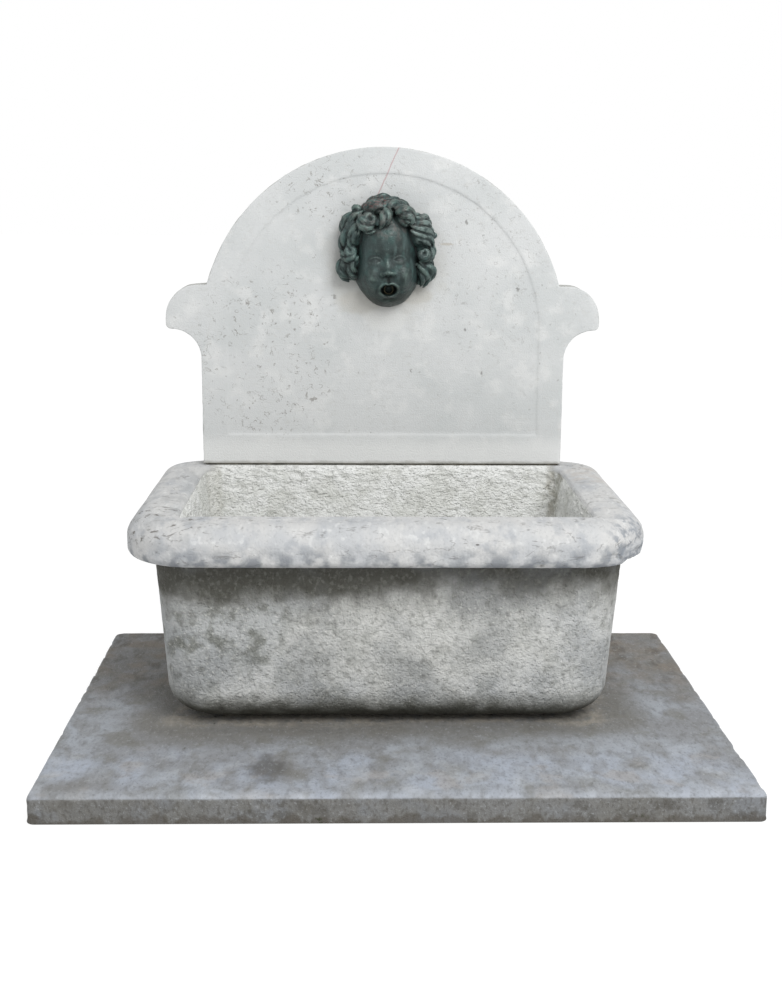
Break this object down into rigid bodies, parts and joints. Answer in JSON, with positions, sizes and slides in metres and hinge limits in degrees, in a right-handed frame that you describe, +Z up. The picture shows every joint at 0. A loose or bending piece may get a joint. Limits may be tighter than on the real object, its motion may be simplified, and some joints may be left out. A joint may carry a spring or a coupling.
{
  "type": "garden wall fountain",
  "caption": "Stone garden fountain: a trough with a bullnose rim on a ground slab, an arched back slab with eared shoulders, and a bronze cherub spout.",
  "frame": {"origin": "under the middle of the whole object's box, on the ground", "axes": "+Z up, the front faces -Y, +X to the viewer's right, along the length of the ground slab"},
  "size_m": [1.4, 1.034, 1.27],
  "materials": {
    "paving": "worn grey sandstone, pale worn arris, dark damp stains",
    "trough_stone": "bush-hammered grey limestone, weathered",
    "slab_stone": "pale honed limestone with small pits",
    "bronze": "cast bronze with dark green patina",
    "mortar": "lime mortar",
    "brass": "dull turned brass",
    "steel": "plain stainless steel",
    "rubber": "black rubber"
  },
  "bodies": {
    "fountain": {"base_slab": "paving", "basin_bed": "mortar", "basin": "trough_stone", "slab_bed": "mortar", "back_slab": "slab_stone", "dowel_left": "steel", "dowel_right": "steel", "mask": "bronze", "mask_stud_left": "steel", "mask_washer_left": "steel", "mask_nut_left": "steel", "mask_stud_right": "steel", "mask_washer_right": "steel", "mask_nut_right": "steel", "mask_stud_top": "steel", "mask_washer_top": "steel", "mask_nut_top": "steel", "spout_pipe": "brass", "pipe_grout": "mortar", "pipe_backplate": "brass", "pipe_locknut": "brass", "waste_body": "brass", "waste_gasket": "rubber", "waste_under_gasket": "rubber", "waste_tail": "steel", "waste_locknut": "brass"},
    "standpipe": {"standpipe": "brass", "standpipe_seal": "rubber", "standpipe_lid": "brass"}
  },
  "joints": [
    {"name": "overflow_lift", "type": "slide", "parent": "fountain", "child": "standpipe", "axis": [0, 0, 1], "range_m": [0, 0.45]}
  ]
}
